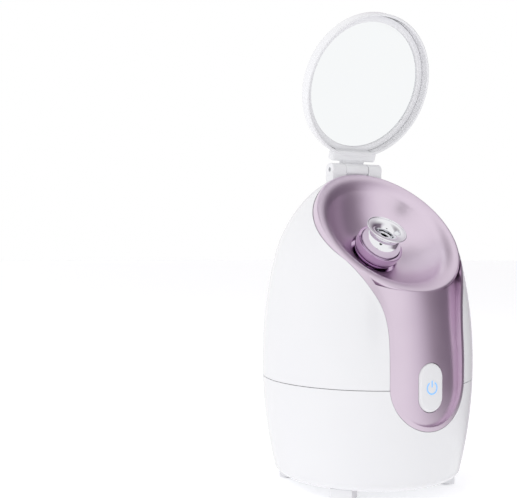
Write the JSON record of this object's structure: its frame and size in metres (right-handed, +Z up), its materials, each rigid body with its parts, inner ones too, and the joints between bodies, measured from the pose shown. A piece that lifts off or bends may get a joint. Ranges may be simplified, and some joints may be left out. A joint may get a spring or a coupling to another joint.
{
  "type": "facial steamer",
  "caption": "Egg-shaped tabletop facial steamer with a tilted steam bowl, swivelling chrome nozzle, push button, hinged mirror lid and lift-out rear water tank.",
  "frame": {"origin": "on the table under the axis of the egg-shaped body", "axes": "+Z up, -Y towards the user (front, with the button), +X to the right seen along +Y"},
  "size_m": [0.1408, 0.1387, 0.3137],
  "materials": {
    "white_gloss": "high-gloss moulded white ABS",
    "white_inner": "moulded white ABS",
    "mauve_trim": "satin metallic lavender-mauve lacquer on moulded ABS",
    "dark_collar": "dark mauve gloss plastic",
    "chrome": "mirror chrome plating",
    "mirror_glass": "silvered flat glass",
    "steel": "zinc-plated steel",
    "rubber_grey": "soft grey rubber",
    "silicone": "translucent silicone",
    "tank_plastic": "frosted translucent plastic",
    "valve_plastic": "acetal",
    "boiler_alloy": "die-cast aluminium",
    "heater_ceramic": "white ceramic",
    "board_green": "green solder mask",
    "black_plastic": "moulded black plastic",
    "coil_yellow": "polyester tape",
    "brass": "turned brass",
    "light_lens": "light blue translucent lens"
  },
  "bodies": {
    "root": {"base_shell": "white_gloss", "upper_shell": "white_gloss", "bottom_plate": "white_inner", "base_feet": "white_gloss", "foot_pads": "rubber_grey", "base_screws": "steel", "steam_bowl": "mauve_trim", "column_panel": "mauve_trim", "hinge_bracket": "white_gloss", "hinge_pin": "steel", "hinge_screws": "steel", "nozzle_seat": "white_inner", "ion_needle": "steel", "tank_dock": "white_inner", "dock_seal": "rubber_grey", "boiler_cup": "boiler_alloy", "boiler_gasket": "rubber_grey", "boiler_cover": "boiler_alloy", "heater_plate": "heater_ceramic", "thermostat": "steel", "thermal_fuse": "heater_ceramic", "boiler_screws": "steel", "steam_tube": "silicone", "feed_hose": "silicone", "main_board": "board_green", "board_screws": "steel", "mains_capacitor": "black_plastic", "board_transformer": "coil_yellow", "board_relay": "black_plastic", "ion_generator": "black_plastic", "power_inlet": "white_inner", "inlet_contacts": "brass", "switch_board": "board_green", "tact_switch": "black_plastic", "power_light": "light_lens"},
    "button": {"power_button": "white_gloss", "button_icon": "light_lens", "switch_plunger": "valve_plastic"},
    "lid": {"lid_shell": "white_gloss", "lid_mirror": "mirror_glass", "mirror_bezel": "white_gloss"},
    "collar": {"nozzle_collar": "dark_collar"},
    "nozzle": {"nozzle_ball": "chrome", "nozzle_flare": "chrome", "nozzle_insert": "chrome"},
    "tank": {"tank_shell": "tank_plastic"},
    "cap": {"tank_cap": "white_inner", "cap_seal": "rubber_grey", "valve_spring": "steel"},
    "valve": {"valve_plunger": "valve_plastic"}
  },
  "joints": [
    {"name": "lid_hinge", "type": "hinge", "parent": "root", "child": "lid", "pos_m": [0, 0.0141, 0.21079], "axis": [1, 0, 0], "range_deg": [0, 117.3]},
    {"name": "button_press", "type": "slide", "parent": "root", "child": "button", "axis": [0, 1, 0], "range_m": [0, 0.001], "stiffness_N_per_m": 600, "springref_m": -0.0008},
    {"name": "nozzle_turn", "type": "hinge", "parent": "root", "child": "collar", "pos_m": [0, -0.0146, 0.15949], "axis": [0, -0.7466, 0.6652], "continuous": true},
    {"name": "nozzle_tilt", "type": "hinge", "parent": "collar", "child": "nozzle", "pos_m": [0, -0.0146, 0.15949], "axis": [1, 0, 0], "range_deg": [-7.7, 28.3]},
    {"name": "tank_lift", "type": "slide", "parent": "root", "child": "tank", "axis": [0, 0, 1], "range_m": [0, 0.16]},
    {"name": "cap_turn", "type": "hinge", "parent": "tank", "child": "cap", "pos_m": [0, 0.0568, 0.066], "axis": [0, 0, 1], "range_deg": [0, 90]},
    {"name": "valve_lift", "type": "slide", "parent": "cap", "child": "valve", "axis": [0, 0, 1], "range_m": [0, 0.002], "stiffness_N_per_m": 60, "springref_m": -0.003, "deforming": ["valve_spring"]}
  ]
}
